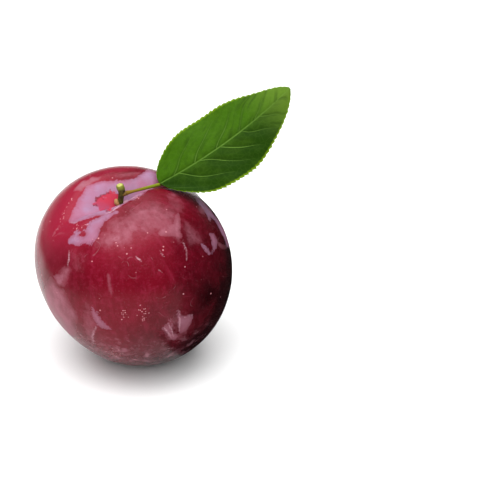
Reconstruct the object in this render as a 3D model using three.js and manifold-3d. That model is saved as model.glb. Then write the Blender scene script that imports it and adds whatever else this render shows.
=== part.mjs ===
// A ripe red plum, resting on a small flat spot at its base, with its short cut stalk and one leaf.
// Millimetres, +Z up. The origin is the centre of the flat spot. The leaf reaches out over +X, and the
// stalk end of the fruit leans a little towards -X and -Y.
import * as THREE from "three";
import { mergeVertices } from "three/addons/utils/BufferGeometryUtils.js";
import Module from "manifold-3d";

const { PI, sin, cos, exp, hypot, abs, max, round } = Math;
const { degToRad: rad, lerp, smoothstep, clamp } = THREE.MathUtils;

// ---- Fruit: a rounded body described by its radius in each direction from its centre ----
const FRUIT_RADIUS = 29.4;
const FRUIT_CENTRE = new THREE.Vector3(-2.0, -0.3, 29.15);
const LEAN_TO_LEFT = rad(9.5);
const LEAN_TO_FRONT = rad(13);
const END_FLATTENING = 0.7; // pulls both ends in and pushes the shoulders out
const CHEEK_SWELL = 1.3; // the two cheeks, either side of the suture
const SHOULDER_SKEW = 0.62; // one shoulder stands higher than the other
const SHOULDER_SKEW_AZIMUTH = rad(180);
const THREE_LOBED = 0.35; // the waist is faintly three-sided
const APEX_DIMPLE = { depth: 0.35, spread: rad(9) };
const FACET_ROWS = 18; // rows of facets in each face of the icosahedron that the skin starts from
const CROWD_TO_STALK = 0.4; // moves facets from the base to the hollow, which has finer shape

// The hollow that the stalk stands in: a bent oval pit, steepest on the front side.
const HOLLOW_DEPTH = 6.9;
const HOLLOW_AZIMUTH = rad(31);
const HOLLOW_BEND = 0.21;
const HOLLOW_BEND_ROUNDING = 1.5;
const HOLLOW_REACH = { left: 10, right: 8, front: 4, back: 7.6 };

// The suture runs from the hollow down one side to the apex. A short faint crease lies opposite.
const CREASE_WIDTH = 3.3;
const CREASE_ALL_THE_WAY = 0.1; // what is left of a crease's depth round the waist
const SUTURE_AZIMUTH = rad(28);
const SUTURE = { azimuth: SUTURE_AZIMUTH, depth: 2.9, middle: 10.5, reach: 10, swing: rad(14) };
const BACK_CREASE = { azimuth: rad(200), depth: 1.0, middle: 10.5, reach: 6, swing: 0 };
const SWING_REACH = 14; // the suture leaves the hollow turned by its swing and straightens over this

// ---- Stalk: stands in a small socket at the bottom of the hollow ----
const STALK_RADIUS = 0.85;
const STALK_FOOT_RADIUS = 0.95;
const STALK_FOOT_REACH = 0.25; // as a share of the stalk's length, as the knob's place and reach are
const KNOB = { radius: 1.15, middle: 0.9, reach: 0.1, cutRadius: 0.85 };
const STALK_SIDES = 14;
const STALK_STEPS = 26;
const SOCKET_DEPTH = 2;
const SOCKET_SIDES = 16;
const CLEARANCE = 0.3; // between pieces that touch
const STALK_BEND = [new THREE.Vector3(0.5, -0.15, 3.6), new THREE.Vector3(0.95, -0.85, 6.9)];
const STALK_TOP = new THREE.Vector3(0.5, -1.3, 9.3); // all three are measured from the stalk's foot
const BUD = { size: [0.75, 0.75, 1.2], place: new THREE.Vector3(-0.45, -0.6, 3.3), tilt: rad(-22) };
const LEAF_SCAR = { size: [0.85, 0.75, 0.8], place: new THREE.Vector3(1.75, -0.8, 6.3), tilt: 0 };
const PEBBLE_SIDES = 12;

// ---- Leaf: a stalk of its own, and a toothed blade that leans out over the fruit's shoulder ----
const BLADE_BASE = new THREE.Vector3(6.1, 0.1, 55.95);
const BLADE_YAW = rad(24);
const BLADE_RISE = rad(29);
const BLADE_ROLL = rad(38.4);
const BLADE_LENGTH = 47;
const BLADE_HALF_WIDTH = 11.2;
const BLADE_NECK = 0.5;
const BLADE_THICKNESS = 0.6;
const BLADE_BELLY = 0.77; // below 1 the widest place moves towards the base
const BLADE_FULLNESS = 0.68; // below 1 the ends are blunter
const BLADE_SIDE_BOW = 2.6; // the midrib bows to one side
const BLADE_ARCH = 2.1; // the midrib stands over the straight line from base to tip
const BLADE_ROOF = 1.2; // the margins hang back behind the midrib
const ROOF_ROUNDING = 1.3; // 1 is a sharp ridge along the midrib and 2 a round arch
const BLADE_WAVE = { height: 0.9, waves: 2.5 };
const BASE_CURL = { height: 3.3, middle: 0.09, reach: 0.14 }; // the lower margin lifts near the base
const TEETH = 32; // on each margin
const TOOTH_DEPTH = 0.5;
const TOOTH_LEAN = 0.7; // where the point lies between two notches: past 0.5 it aims at the leaf's tip
const TOOTH_FADE = 0.4; // teeth are smaller near both ends: 0 keeps them all alike
const BLADE_COLUMNS = [-1, -0.72, -0.42, -0.16, 0, 0.16, 0.42, 0.72, 1];
const RIB_RADIUS = { stalk: 0.5, base: 0.55, end: 0.28 };
const RIB_DROP = 0.3; // how far the midrib's axis lies behind the middle of the blade
const RIB_STATIONS = [0, 0.12, 0.3, 0.5, 0.7, 0.86]; // along the blade
const RIB_STALK_SHARE = 0.2; // the part of the rib's length that is the leaf's stalk
const RIB_SIDES = 8;
const RIB_STEPS = 40;
const LEAF_STALK_START = new THREE.Vector3(2.85, -0.3, 6.35); // from the stalk's foot
const LEAF_STALK_SAG = new THREE.Vector3(6.4, 1.9, 6.35);

const COLOURS = { fruit: 0x8c1c30, stem: 0x6b6a2a, leaf: 0x4b7a22 };

const wasm = await Module();
wasm.setup();

// ---- Geometry helpers ----

// The same surface with its shared vertices merged, so that it is one closed mesh.
function closed(geometry) {
  const bare = geometry.clone();
  bare.deleteAttribute("normal");
  bare.deleteAttribute("uv");
  return mergeVertices(bare, 1e-4);
}

function toSolid(geometry) {
  const mesh = new wasm.Mesh({
    numProp: 3,
    vertProperties: new Float32Array(geometry.attributes.position.array),
    triVerts: new Uint32Array(geometry.index.array),
  });
  return new wasm.Manifold(mesh);
}

function toGeometry(solid) {
  const mesh = solid.getMesh();
  const geometry = new THREE.BufferGeometry();
  geometry.setAttribute("position", new THREE.BufferAttribute(mesh.vertProperties, 3));
  geometry.setIndex(new THREE.BufferAttribute(mesh.triVerts, 1));
  geometry.computeVertexNormals();
  return geometry;
}

function moveVertices(geometry, move) {
  const position = geometry.attributes.position;
  const point = new THREE.Vector3();
  for (let i = 0; i < position.count; i++) {
    move(point.fromBufferAttribute(position, i));
    position.setXYZ(i, point.x, point.y, point.z);
  }
  return geometry;
}

// A solid rod along a curve, with its radius given along the way from 0 to 1.
function rod(curve, radiusAt, sides, steps) {
  const straight = closed(new THREE.CylinderGeometry(1, 1, 1, sides, steps));
  const frames = curve.computeFrenetFrames(steps);
  return moveVertices(straight, (point) => {
    const step = round((point.y + 0.5) * steps);
    const along = step / steps;
    const across = frames.normals[step];
    const side = across.clone().cross(frames.tangents[step]);
    const reach = radiusAt(along);
    const { x, z } = point;
    point.copy(curve.getPointAt(along));
    point.addScaledVector(across, x * reach).addScaledVector(side, z * reach);
  });
}

function pebble({ size, place, tilt }) {
  const ball = closed(new THREE.SphereGeometry(1, PEBBLE_SIDES, PEBBLE_SIDES / 2));
  ball.scale(...size).rotateY(tilt).translate(place.x, place.y, place.z);
  return ball;
}

const bump = (x, middle, reach) => exp(-(((x - middle) / reach) ** 2));

// ---- Fruit ----

const fruitLean = new THREE.Matrix4().makeRotationFromEuler(
  new THREE.Euler(LEAN_TO_FRONT, -LEAN_TO_LEFT, 0, "XYZ"),
);

function hollowDepth(arc, azimuth) {
  const along = arc * cos(azimuth - HOLLOW_AZIMUTH);
  const bend = HOLLOW_BEND * (hypot(along, HOLLOW_BEND_ROUNDING) - HOLLOW_BEND_ROUNDING);
  const across = arc * sin(azimuth - HOLLOW_AZIMUTH) - bend;
  const reachAlong = along < 0 ? HOLLOW_REACH.left : HOLLOW_REACH.right;
  const reachAcross = across < 0 ? HOLLOW_REACH.front : HOLLOW_REACH.back;
  return HOLLOW_DEPTH * bump(along, 0, reachAlong) * bump(across, 0, reachAcross);
}

function creaseDepth(crease, polar, arc, azimuth) {
  const middleLine = crease.azimuth + crease.swing * bump(arc, 0, SWING_REACH);
  const turn = azimuth - middleLine;
  const away = Math.atan2(sin(turn), cos(turn));
  const across = FRUIT_RADIUS * sin(polar) * away;
  const along = CREASE_ALL_THE_WAY * sin(polar) + bump(arc, crease.middle, crease.reach);
  return crease.depth * along * bump(across, 0, CREASE_WIDTH) * cos(away / 2) ** 2;
}

// Distance from the fruit's centre to its skin. The polar angle is 0 at the stalk and PI at the apex.
function fruitReach(polar, azimuth) {
  const arc = FRUIT_RADIUS * polar;
  const waist = sin(polar);
  return (
    FRUIT_RADIUS -
    END_FLATTENING * cos(3 * polar) -
    CHEEK_SWELL * cos(2 * (azimuth - SUTURE_AZIMUTH)) * waist ** 2 +
    SHOULDER_SKEW * cos(azimuth - SHOULDER_SKEW_AZIMUTH) * sin(2 * polar) +
    THREE_LOBED * cos(3 * azimuth) * waist ** 3 -
    hollowDepth(arc, azimuth) -
    creaseDepth(SUTURE, polar, arc, azimuth) -
    creaseDepth(BACK_CREASE, polar, arc, azimuth) -
    APEX_DIMPLE.depth * bump(PI - polar, 0, APEX_DIMPLE.spread)
  );
}

// A point in the fruit's own frame, its stalk end up, taken to where it lies on the leaning fruit.
const onFruit = (point) => point.applyMatrix4(fruitLean).add(FRUIT_CENTRE);
const stalkAxis = new THREE.Vector3(0, 0, 1).applyMatrix4(fruitLean);
const stalkFoot = onFruit(new THREE.Vector3(0, 0, fruitReach(0, 0)));
const fromFoot = (offset) => offset.clone().add(stalkFoot);

function makeFruit() {
  const skin = closed(new THREE.IcosahedronGeometry(1, FACET_ROWS));
  moveVertices(skin, (point) => {
    const evenPolar = Math.acos(clamp(point.z, -1, 1));
    const polar = evenPolar - CROWD_TO_STALK * sin(evenPolar) * (1 - evenPolar / PI);
    const azimuth = Math.atan2(point.y, point.x);
    const reach = fruitReach(polar, azimuth);
    point.set(sin(polar) * cos(azimuth), sin(polar) * sin(azimuth), cos(polar));
    onFruit(point.multiplyScalar(reach));
  });

  const width = 4 * FRUIT_RADIUS;
  const belowTable = closed(new THREE.BoxGeometry(width, width, width));
  belowTable.translate(0, 0, -width / 2);

  const socketRadius = STALK_FOOT_RADIUS + CLEARANCE;
  const socket = closed(
    new THREE.CylinderGeometry(socketRadius, socketRadius, 2 * SOCKET_DEPTH, SOCKET_SIDES),
  );
  const upright = new THREE.Quaternion().setFromUnitVectors(new THREE.Vector3(0, 1, 0), stalkAxis);
  socket.applyQuaternion(upright).translate(stalkFoot.x, stalkFoot.y, stalkFoot.z);

  const rested = toSolid(skin).subtract(toSolid(belowTable));
  return toGeometry(rested.subtract(toSolid(socket)));
}

// ---- Stalk ----

function stalkRadius(along) {
  const foot = (STALK_FOOT_RADIUS - STALK_RADIUS) * bump(along, 0, STALK_FOOT_REACH);
  const knob = (KNOB.radius - STALK_RADIUS) * bump(along, KNOB.middle, KNOB.reach);
  return along === 1 ? KNOB.cutRadius : STALK_RADIUS + foot + knob;
}

function makeStem() {
  const buried = SOCKET_DEPTH - CLEARANCE;
  const path = new THREE.CatmullRomCurve3([
    stalkFoot.clone().addScaledVector(stalkAxis, -buried),
    stalkFoot.clone(),
    ...STALK_BEND.map(fromFoot),
    fromFoot(STALK_TOP),
  ]);
  const stalk = toSolid(rod(path, stalkRadius, STALK_SIDES, STALK_STEPS));
  const bumps = [BUD, LEAF_SCAR].map((spot) => pebble({ ...spot, place: fromFoot(spot.place) }));
  return toGeometry(bumps.reduce((whole, piece) => whole.add(toSolid(piece)), stalk));
}

// ---- Leaf: built in its own frame, +X from base to tip, +Z out of its upper face ----

function bladeHalfWidth(along) {
  const outline = max(0, sin(PI * along ** BLADE_BELLY)) ** BLADE_FULLNESS;
  return max(BLADE_NECK, BLADE_HALF_WIDTH * outline);
}

// The middle of the blade's thickness. Along runs from 0 to 1, and across from -1 to 1.
function bladePoint(along, across, tooth) {
  const halfWidth = bladeHalfWidth(along) + tooth * sin(PI * along) ** TOOTH_FADE;
  const breadth = halfWidth / BLADE_HALF_WIDTH;
  const wave = -BLADE_WAVE.height * sin(2 * PI * BLADE_WAVE.waves * along + across) * across ** 2;
  const curl = across < 0 ? BASE_CURL.height * abs(across) ** 3 : 0;
  return new THREE.Vector3(
    BLADE_LENGTH * along,
    across * halfWidth - 4 * BLADE_SIDE_BOW * along * (1 - along),
    4 * BLADE_ARCH * along * (1 - along) -
      BLADE_ROOF * breadth * abs(across) ** ROOF_ROUNDING +
      wave * breadth +
      curl * bump(along, BASE_CURL.middle, BASE_CURL.reach),
  );
}

function makeBlade() {
  const rows = 2 * TEETH + 1;
  const columns = BLADE_COLUMNS.length;
  const points = [];
  for (const face of [1, -1]) {
    for (let row = 0; row < rows; row++) {
      const isPoint = row % 2 === 1;
      const along = isPoint ? ((row - 1) / 2 + TOOTH_LEAN) / TEETH : row / 2 / TEETH;
      for (const across of BLADE_COLUMNS) {
        const onMargin = abs(across) === 1;
        const point = bladePoint(along, across, isPoint && onMargin ? TOOTH_DEPTH : 0);
        point.z += (face * BLADE_THICKNESS) / 2;
        points.push(...point);
      }
    }
  }

  const index = [];
  const at = (face, row, column) => (face * rows + row) * columns + column;
  const quad = (a, b, c, d) => index.push(a, b, c, a, c, d);
  for (let row = 0; row < rows - 1; row++) {
    for (let column = 0; column < columns - 1; column++) {
      const corners = [
        [row, column],
        [row + 1, column],
        [row + 1, column + 1],
        [row, column + 1],
      ];
      const [a, b, c, d] = corners.map((corner) => at(0, ...corner));
      quad(a, b, c, d);
      const [e, f, g, h] = corners.map((corner) => at(1, ...corner));
      index.push(e, g, f, e, h, g); // split along the same diagonal as the upper face
    }
    quad(at(1, row, 0), at(1, row + 1, 0), at(0, row + 1, 0), at(0, row, 0));
    const last = columns - 1;
    quad(at(0, row, last), at(0, row + 1, last), at(1, row + 1, last), at(1, row, last));
  }
  for (let column = 0; column < columns - 1; column++) {
    quad(at(0, 0, column), at(0, 0, column + 1), at(1, 0, column + 1), at(1, 0, column));
    const end = rows - 1;
    quad(at(1, end, column), at(1, end, column + 1), at(0, end, column + 1), at(0, end, column));
  }

  const blade = new THREE.BufferGeometry();
  blade.setAttribute("position", new THREE.Float32BufferAttribute(points, 3));
  blade.setIndex(index);
  return blade;
}

// The leaf's stalk, which runs on as the midrib behind the blade.
function makeRib(leafFrame) {
  const inLeafFrame = (offset) => leafFrame.worldToLocal(fromFoot(offset));
  const ribPoint = (along) => bladePoint(along, 0, 0).add(new THREE.Vector3(0, 0, -RIB_DROP));
  const path = new THREE.CatmullRomCurve3([
    inLeafFrame(LEAF_STALK_START),
    inLeafFrame(LEAF_STALK_SAG),
    ...RIB_STATIONS.map(ribPoint),
  ]);
  const ribRadius = (along) => {
    const onStalk = lerp(RIB_RADIUS.stalk, RIB_RADIUS.base, clamp(along / RIB_STALK_SHARE, 0, 1));
    return lerp(onStalk, RIB_RADIUS.end, smoothstep(along, RIB_STALK_SHARE, 1));
  };
  return rod(path, ribRadius, RIB_SIDES, RIB_STEPS);
}

function makeLeaf(leafFrame) {
  return toGeometry(toSolid(makeBlade()).add(toSolid(makeRib(leafFrame))));
}

// ---- The plum ----

function makeMaterial(color, roughness) {
  return new THREE.MeshStandardMaterial({ color, roughness, metalness: 0 });
}

function piece(name, geometry, roughness) {
  const mesh = new THREE.Mesh(geometry, makeMaterial(COLOURS[name], roughness));
  mesh.name = name;
  return mesh;
}

const leafFrame = new THREE.Group();
leafFrame.position.copy(BLADE_BASE);
leafFrame.rotation.set(BLADE_ROLL, -BLADE_RISE, BLADE_YAW, "ZYX");
leafFrame.updateMatrixWorld(true);
leafFrame.add(piece("leaf", makeLeaf(leafFrame), 0.5));

const plum = new THREE.Group();
plum.add(piece("fruit", makeFruit(), 0.3), piece("stem", makeStem(), 0.7), leafFrame);

export default plum;
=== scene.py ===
# The looks of a ripe red plum at rest, as picked, with its cut stalk and one leaf, built around the packed
# part in the same frame: +Z up, the origin at the centre of the flat spot that the fruit rests on, and the
# leaf reaching out over +X. Sizes are in millimetres until a mesh, a light or the camera is made.
import math

import bpy
import numpy as np
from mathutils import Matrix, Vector


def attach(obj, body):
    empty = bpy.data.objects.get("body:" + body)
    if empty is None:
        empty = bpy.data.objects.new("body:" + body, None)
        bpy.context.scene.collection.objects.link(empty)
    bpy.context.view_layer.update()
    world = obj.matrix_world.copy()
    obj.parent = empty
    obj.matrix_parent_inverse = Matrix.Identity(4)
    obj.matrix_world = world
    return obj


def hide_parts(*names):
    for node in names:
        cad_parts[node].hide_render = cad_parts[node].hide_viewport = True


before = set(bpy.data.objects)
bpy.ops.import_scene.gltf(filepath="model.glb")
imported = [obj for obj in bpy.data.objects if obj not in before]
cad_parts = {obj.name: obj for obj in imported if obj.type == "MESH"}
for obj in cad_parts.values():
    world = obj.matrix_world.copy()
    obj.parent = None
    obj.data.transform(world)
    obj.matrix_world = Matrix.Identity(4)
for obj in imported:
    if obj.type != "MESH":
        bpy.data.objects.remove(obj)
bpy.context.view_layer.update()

MM = 0.001

# ---- Camera ----
CAMERA_AIM = np.array((32.1, 10.6, 29.15))
CAMERA_DISTANCE = 560.0
CAMERA_ELEVATION = math.radians(27)
CAMERA_LENS = 134.7  # millimetres, on Blender's 36 mm sensor
CAMERA_NEAR = 10.0  # nothing nearer is seen

# ---- Stage ----
# Each softbox's place, size and strength, and whether the skin reflects it or it only lights
LIGHTS = {
    "overhead": ((-150, 150, 1000), 1500, 1.9, True),
    "top_fill": ((60, -480, 900), 1500, 2.7, False),
    "left": ((-1000, -100, 420), 700, 0.68, False),
}
LIGHTS_AIM = (0, 0, 30)
WORLD_LIGHT = 0.1
FLOOR_WHITE = (0.96, 0.96, 0.96)
FLOOR_HALF = 4000.0
FLOOR_FADE = (350.0, 700.0)  # how far from the fruit the lit floor fades out into an even white
# Black cards that darken what the skin reflects: how far each reaches from front to back, and its profile
# from the side as points of X and Z. One lies on the left, and one stands close by on the right like an L
FLAGS = {
    "left": ((-300.0, 400.0), ((-1200.0, 1.0), (-139.0, 1.0))),
    "right": ((-40.0, 120.0), ((13.0, 1.0), (34.0, 1.0), (34.0, 46.0))),
}

# ---- Fruit: its radius in each direction from its centre, as in the part's source ----
FRUIT_RADIUS = 29.4
FRUIT_CENTRE = np.array((-2.0, -0.3, 29.15))
LEAN_TO_LEFT = math.radians(9.5)
LEAN_TO_FRONT = math.radians(13)
END_FLATTENING = 0.7
CHEEK_SWELL = 1.3
SHOULDER_SKEW = 0.62
SHOULDER_SKEW_AZIMUTH = math.radians(180)
THREE_LOBED = 0.35
APEX_DIMPLE_DEPTH = 0.35
APEX_DIMPLE_SPREAD = math.radians(9)
HOLLOW_DEPTH = 6.9
HOLLOW_AZIMUTH = math.radians(31)
HOLLOW_BEND = 0.21
HOLLOW_BEND_ROUNDING = 1.5
HOLLOW_REACH = {"left": 10.0, "right": 8.0, "front": 4.0, "back": 7.6}
CREASE_WIDTH = 3.3
CREASE_ALL_THE_WAY = 0.1
CREASE_MIDDLE = 10.5
SWING_REACH = 14.0
SUTURE_AZIMUTH = math.radians(28)
SUTURE = {"azimuth": SUTURE_AZIMUTH, "depth": 2.9, "reach": 10.0, "swing": math.radians(14)}
BACK_CREASE = {"azimuth": math.radians(200), "depth": 1.0, "reach": 6.0, "swing": 0.0}
FRUIT_CELLS = 128  # along each edge of the cube that the skin's grid starts from
SKIN_WAVES = ((9.0, 0.05), (3.0, 0.012))  # size across and height of the skin's faint unevenness
STALK_COLLAR = {"depth": 0.35, "middle": 1.5, "reach": 0.5}  # the ring pressed in round the stalk's foot

# ---- Broad changes in the skin's colour, partly painted light and shade ----
# The right cheek shaded to maroon: partly the skin's own deeper colour, partly painted shade on the side
# away from the lights
DARK_CHEEK = {"towards": np.array((0.93, 0.1, -0.35)), "fade": (-0.25, 0.85)}
# The upper left is brighter red: partly the skin's own colour, partly painted light on the side that faces
# the lights
BLUSH_AND_LIGHT = {"towards": np.array((-0.66, -0.14, 0.74)), "fade": (0.72, 1.0)}
BLUSH_AND_LIGHT_STRENGTH = 0.6
# Where the underside starts: it is painted darker towards maroon as painted shade, and its pale film is
# partly a painted reflection of the white floor
UNDERSIDE_FADE = (0.1, 0.75)
MERIDIAN_STREAKS = 14.0  # more make the skin's faint streaks from stalk to apex narrower
STREAK_STRETCH = 0.16

# ---- Marks on the skin, as seen from the camera: millimetres right and up of the fruit's middle ----
FRUIT_MIDDLE_IN_VIEW = (-34.9, -4.5)  # the fruit's middle, right and up of the point the camera aims at
# Crisp-edged bloom: how thickly each patch covers the skin, and its outline. Round the hollow, and on the
# front right haze's lower edge, it also holds a painted reflection of the overhead softbox
BLOOM_PATCHES = {
    # Bloom with a painted reflection of the overhead softbox in it
    "round the hollow": (1.0, [
        (-19.5, 12.9), (-19.3, 14.2), (-18.4, 16.3), (-17.0, 18.4), (-16.1, 20.7), (-14.9, 22.6),
        (-13.6, 24.1), (-11.3, 24.8), (-8.6, 25.4), (-5.6, 25.3), (-3.3, 25.6), (-0.6, 25.8), (1.9, 26.6),
        (3.4, 28.2), (4.7, 28.8), (6.8, 27.8), (7.8, 26.6), (8.0, 24.9), (6.2, 23.2), (3.4, 21.3),
        (0.8, 20.1), (-1.8, 18.8), (-4.6, 16.9), (-6.6, 15.6), (-9.2, 14.9), (-11.7, 14.4), (-15.7, 13.3),
        (-17.2, 12.5), (-18.6, 12.3)]),
    "front left shoulder": (0.97, [
        (-4.2, 16.3), (-5.4, 15.1), (-7.2, 14.0), (-8.7, 13.1), (-9.5, 12.1), (-9.9, 10.1), (-10.6, 8.5),
        (-11.6, 7.2), (-12.5, 6.2), (-14.2, 5.9), (-17.1, 5.9), (-18.6, 5.9), (-19.5, 6.3), (-19.7, 7.2),
        (-19.1, 8.3), (-18.1, 9.2), (-17.6, 10.3), (-16.5, 10.6), (-16.0, 9.9), (-14.7, 10.4),
        (-14.0, 11.6), (-13.3, 12.7), (-12.2, 13.7), (-9.1, 15.1), (-6.5, 16.1)]),
    "left spot": (0.6, [
        (-24.4, -3.1), (-22.5, -2.8), (-20.7, -2.6), (-21.1, -4.9), (-22.1, -6.0), (-23.5, -4.1)]),
    "slanting, low on the left": (0.7, [
        (-12.3, -12.0), (-10.8, -14.4), (-9.8, -15.9), (-8.2, -17.2), (-7.4, -18.3), (-6.3, -19.3),
        (-8.2, -19.3), (-10.2, -18.9), (-11.0, -17.6), (-12.1, -15.7), (-12.9, -14.0)]),
    "the fan's right half": (0.65, [
        (13.3, -13.0), (13.9, -14.6), (15.0, -15.3), (18.1, -14.7), (17.4, -16.8), (17.1, -18.3),
        (15.8, -19.5), (14.7, -20.5), (13.5, -20.6), (13.1, -19.3), (13.0, -17.2), (13.1, -15.0)]),
    "the fan's left half": (0.6, [
        (11.0, -15.8), (11.7, -17.6), (12.4, -19.1), (13.0, -20.4), (13.2, -22.1), (12.0, -22.8),
        (10.9, -21.7), (10.0, -21.2), (9.4, -19.8), (8.3, -19.1), (9.8, -18.0), (10.5, -17.0)]),
    "right shoulder": (0.9, [
        (18.5, 20.9), (20.8, 19.2), (22.8, 17.1), (24.2, 15.2), (25.1, 13.4), (23.9, 13.6), (23.2, 14.2),
        (22.4, 13.7), (22.0, 15.3), (20.8, 16.8), (19.4, 18.3), (18.2, 20.0)]),
    "the line down the right edge": (1.0, [
        (24.6, 15.0), (26.3, 12.2), (27.5, 10.0), (28.6, 7.5), (29.1, 5.4), (28.1, 5.0), (27.6, 7.2),
        (26.4, 9.6), (25.2, 11.8), (23.8, 14.2)]),
    "hook's right limb": (0.8, [
        (22.4, 9.8), (24.0, 9.8), (24.8, 8.2), (25.2, 6.7), (25.1, 5.2), (24.1, 3.7), (23.2, 3.2),
        (23.8, 5.2), (23.5, 6.7), (22.9, 8.2)]),
    "hook's left limb": (0.8, [
        (20.0, 6.7), (20.6, 5.2), (21.4, 4.2), (22.8, 2.8), (23.4, 3.4), (22.3, 4.9), (21.1, 6.5)]),
    "blob under the right shoulder": (0.6, [(22.2, 14.2), (23.4, 14.2), (23.6, 13.2), (22.5, 13.0)]),
    # Bloom with a painted reflection of the overhead softbox in it, as in the haze above it
    "lower edge of the front right haze": (0.5, [
        (7.2, 9.6), (8.3, 10.5), (10.9, 11.6), (12.0, 13.1), (12.4, 15.0), (13.5, 16.3), (14.1, 14.6),
        (14.4, 12.3), (13.9, 10.5), (14.4, 9.0), (15.2, 7.2), (13.9, 7.9), (12.8, 8.5), (10.2, 8.5),
        (7.9, 8.5)]),
}
# Where it is rubbed off beside the stalk, and where that spot is dusted over again
RUBBED_SPOT = [
    (-11.3, 19.8), (-10.2, 20.6), (-8.8, 20.8), (-8.6, 21.9), (-6.3, 22.3), (-5.8, 22.6), (-4.8, 21.5),
    (-4.2, 20.7), (-4.1, 18.8), (-5.4, 18.0), (-6.2, 16.3), (-7.5, 15.9), (-8.6, 16.5), (-10.5, 17.1),
    (-11.7, 17.7), (-12.1, 18.4), (-11.6, 19.2)]
DUSTED_AGAIN = (2.4, 1.0, [
    (-13.0, 19.6), (-9.8, 19.4), (-8.4, 18.6), (-6.4, 18.2), (-6.4, 15.0), (-10.0, 15.0), (-13.0, 16.6)])
# A bare pocket in the front patch, and bare lines, each with its width at the middle
BARE_POCKET = [
    (-16.3, 9.4), (-15.5, 9.8), (-14.5, 9.7), (-14.5, 8.9), (-15.5, 8.5), (-16.2, 8.8)]
BARE_LINES = [
    (0.8, [(-16.3, 12.9), (-14.0, 13.3), (-12.2, 13.9), (-10.8, 14.6)]),
    (0.5, [(10.8, -16.8), (11.8, -18.8), (12.7, -20.4)]),
    (0.4, [(11.7, -17.2), (12.5, -19.0), (13.1, -20.4)]),
    (0.6, [(12.9, -17.2), (13.0, -19.7), (13.6, -21.4)]),
]
# Lines of bloom: the width at the middle, how strongly each shows, and its path
BLOOM_LINES = [
    (0.8, 0.42, [(14.3, 8.0), (15.4, 5.6), (16.0, 3.4), (15.8, 0.8)]),
    (0.9, 0.55, [(-19.3, 4.6), (-19.3, 2.1), (-19.8, -0.6)]),
    (0.6, 0.65, [(0.6, 2.6), (2.5, 1.1)]),
    (0.6, 0.4, [(7.9, 4.3), (9.4, 2.2)]),
    (0.6, 0.35, [(7.4, -1.2), (8.7, -2.4)]),
    (1.1, 0.55, [(-11.0, -18.0), (-11.9, -20.1), (-12.4, -21.6), (-11.9, -23.8)]),
    (0.7, 0.95, [
        (-8.6, 15.2), (-6.5, 16.1), (-4.5, 17.5), (-2.8, 18.8), (-1.8, 19.3), (-0.5, 20.0), (0.8, 20.4)]),
    (0.6, 0.5, [(-9.0, -25.8), (-7.6, -25.9), (-6.3, -26.3)]),
    (0.6, 0.4, [(-7.2, -26.5), (-5.4, -27.2), (-4.2, -28.1)]),
    (0.6, 0.35, [(10.0, -25.0), (12.5, -24.9)]),
    (0.6, 0.3, [(15.1, -16.1), (18.1, -14.8)]),
    (0.6, 0.6, [(8.9, -18.4), (10.4, -20.2), (11.5, -22.2)]),
    (0.5, 0.55, [(10.3, -17.1), (11.4, -19.4), (12.1, -21.9)]),
    (0.6, 0.6, [(13.7, -13.6), (13.9, -17.0), (13.7, -20.8)]),
    (1.6, 0.3, [(-24.4, 8.4), (-23.0, 10.6), (-21.0, 12.6)]),
    (0.9, 0.45, [(-19.4, 13.0), (-17.4, 12.7), (-15.4, 13.4)]),
]
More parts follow.
